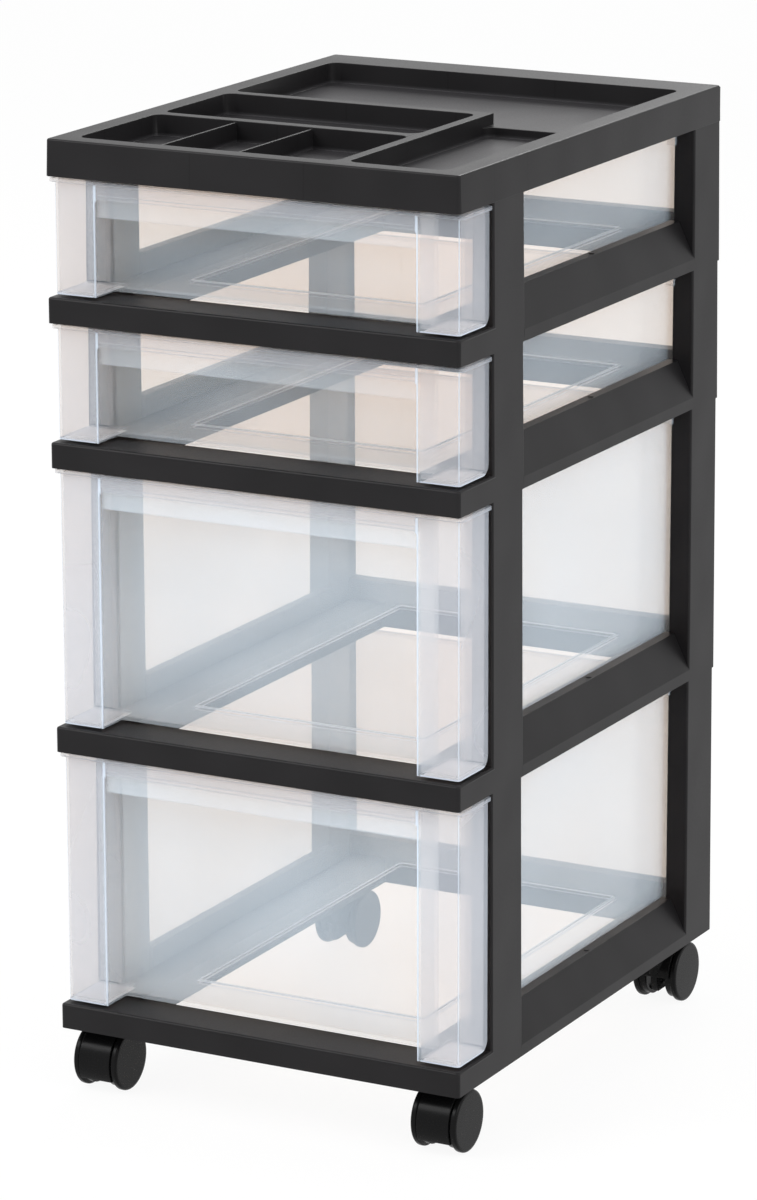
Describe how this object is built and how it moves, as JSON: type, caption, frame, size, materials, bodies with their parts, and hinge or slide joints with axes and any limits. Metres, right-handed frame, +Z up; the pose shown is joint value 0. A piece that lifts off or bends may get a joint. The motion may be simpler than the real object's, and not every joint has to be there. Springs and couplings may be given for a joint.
{
  "type": "plastic drawer tower",
  "caption": "Rolling plastic tower with see-through slide-out drawers in stacked tier frames, an open compartment tray on top and twin-wheel swivel casters.",
  "frame": {"origin": "on the floor, under the middle of the tower's footprint", "axes": "+Z up; -Y is the front, where the drawers slide out; +X to the right seen from the front"},
  "size_m": [0.306, 0.4, 0.663],
  "materials": {
    "black_plastic": "satin moulded black plastic",
    "clear_plastic": "see-through moulded plastic, frosted on the front pillars and the pull bar",
    "caster_plastic": "satin black moulded plastic",
    "steel": "plain turned steel"
  },
  "bodies": {
    "tower": {"base_frame": "black_plastic", "lower_frame": "black_plastic", "middle_frame": "black_plastic", "upper_frame": "black_plastic", "organizer_top": "black_plastic", "front_left_caster_stem": "steel", "front_right_caster_stem": "steel", "rear_left_caster_stem": "steel", "rear_right_caster_stem": "steel"},
    "lower_deep_drawer": {"lower_deep_drawer": "clear_plastic"},
    "upper_deep_drawer": {"upper_deep_drawer": "clear_plastic"},
    "lower_shallow_drawer": {"lower_shallow_drawer": "clear_plastic"},
    "upper_shallow_drawer": {"upper_shallow_drawer": "clear_plastic"},
    "front_left_caster_swivel": {"front_left_caster_hood": "caster_plastic", "front_left_caster_axle": "steel"},
    "front_left_caster_left_wheel": {"front_left_caster_left_wheel": "caster_plastic"},
    "front_left_caster_right_wheel": {"front_left_caster_right_wheel": "caster_plastic"},
    "front_right_caster_swivel": {"front_right_caster_hood": "caster_plastic", "front_right_caster_axle": "steel"},
    "front_right_caster_left_wheel": {"front_right_caster_left_wheel": "caster_plastic"},
    "front_right_caster_right_wheel": {"front_right_caster_right_wheel": "caster_plastic"},
    "rear_left_caster_swivel": {"rear_left_caster_hood": "caster_plastic", "rear_left_caster_axle": "steel"},
    "rear_left_caster_left_wheel": {"rear_left_caster_left_wheel": "caster_plastic"},
    "rear_left_caster_right_wheel": {"rear_left_caster_right_wheel": "caster_plastic"},
    "rear_right_caster_swivel": {"rear_right_caster_hood": "caster_plastic", "rear_right_caster_axle": "steel"},
    "rear_right_caster_left_wheel": {"rear_right_caster_left_wheel": "caster_plastic"},
    "rear_right_caster_right_wheel": {"rear_right_caster_right_wheel": "caster_plastic"}
  },
  "joints": [
    {"name": "lower_deep_drawer_slide", "type": "slide", "parent": "tower", "child": "lower_deep_drawer", "axis": [0, -1, 0], "range_m": [0, 0.257]},
    {"name": "upper_deep_drawer_slide", "type": "slide", "parent": "tower", "child": "upper_deep_drawer", "axis": [0, -1, 0], "range_m": [0, 0.257]},
    {"name": "lower_shallow_drawer_slide", "type": "slide", "parent": "tower", "child": "lower_shallow_drawer", "axis": [0, -1, 0], "range_m": [0, 0.257]},
    {"name": "upper_shallow_drawer_slide", "type": "slide", "parent": "tower", "child": "upper_shallow_drawer", "axis": [0, -1, 0], "range_m": [0, 0.257]},
    {"name": "front_left_caster_turn", "type": "hinge", "parent": "tower", "child": "front_left_caster_swivel", "pos_m": [-0.1305, -0.1565, 0.04], "axis": [0, 0, 1], "continuous": true},
    {"name": "front_left_caster_left_wheel_spin", "type": "hinge", "parent": "front_left_caster_swivel", "child": "front_left_caster_left_wheel", "pos_m": [-0.1305, -0.173, 0.0215], "axis": [1, 0, 0], "continuous": true},
    {"name": "front_left_caster_right_wheel_spin", "type": "hinge", "parent": "front_left_caster_swivel", "child": "front_left_caster_right_wheel", "pos_m": [-0.1305, -0.173, 0.0215], "axis": [1, 0, 0], "continuous": true},
    {"name": "front_right_caster_turn", "type": "hinge", "parent": "tower", "child": "front_right_caster_swivel", "pos_m": [0.1305, -0.1565, 0.04], "axis": [0, 0, 1], "continuous": true},
    {"name": "front_right_caster_left_wheel_spin", "type": "hinge", "parent": "front_right_caster_swivel", "child": "front_right_caster_left_wheel", "pos_m": [0.1305, -0.173, 0.0215], "axis": [1, 0, 0], "continuous": true},
    {"name": "front_right_caster_right_wheel_spin", "type": "hinge", "parent": "front_right_caster_swivel", "child": "front_right_caster_right_wheel", "pos_m": [0.1305, -0.173, 0.0215], "axis": [1, 0, 0], "continuous": true},
    {"name": "rear_left_caster_turn", "type": "hinge", "parent": "tower", "child": "rear_left_caster_swivel", "pos_m": [-0.1305, 0.1565, 0.04], "axis": [0, 0, 1], "continuous": true},
    {"name": "rear_left_caster_left_wheel_spin", "type": "hinge", "parent": "rear_left_caster_swivel", "child": "rear_left_caster_left_wheel", "pos_m": [-0.1305, 0.173, 0.0215], "axis": [1, 0, 0], "continuous": true},
    {"name": "rear_left_caster_right_wheel_spin", "type": "hinge", "parent": "rear_left_caster_swivel", "child": "rear_left_caster_right_wheel", "pos_m": [-0.1305, 0.173, 0.0215], "axis": [1, 0, 0], "continuous": true},
    {"name": "rear_right_caster_turn", "type": "hinge", "parent": "tower", "child": "rear_right_caster_swivel", "pos_m": [0.1305, 0.1565, 0.04], "axis": [0, 0, 1], "continuous": true},
    {"name": "rear_right_caster_left_wheel_spin", "type": "hinge", "parent": "rear_right_caster_swivel", "child": "rear_right_caster_left_wheel", "pos_m": [0.1305, 0.173, 0.0215], "axis": [1, 0, 0], "continuous": true},
    {"name": "rear_right_caster_right_wheel_spin", "type": "hinge", "parent": "rear_right_caster_swivel", "child": "rear_right_caster_right_wheel", "pos_m": [0.1305, 0.173, 0.0215], "axis": [1, 0, 0], "continuous": true}
  ]
}
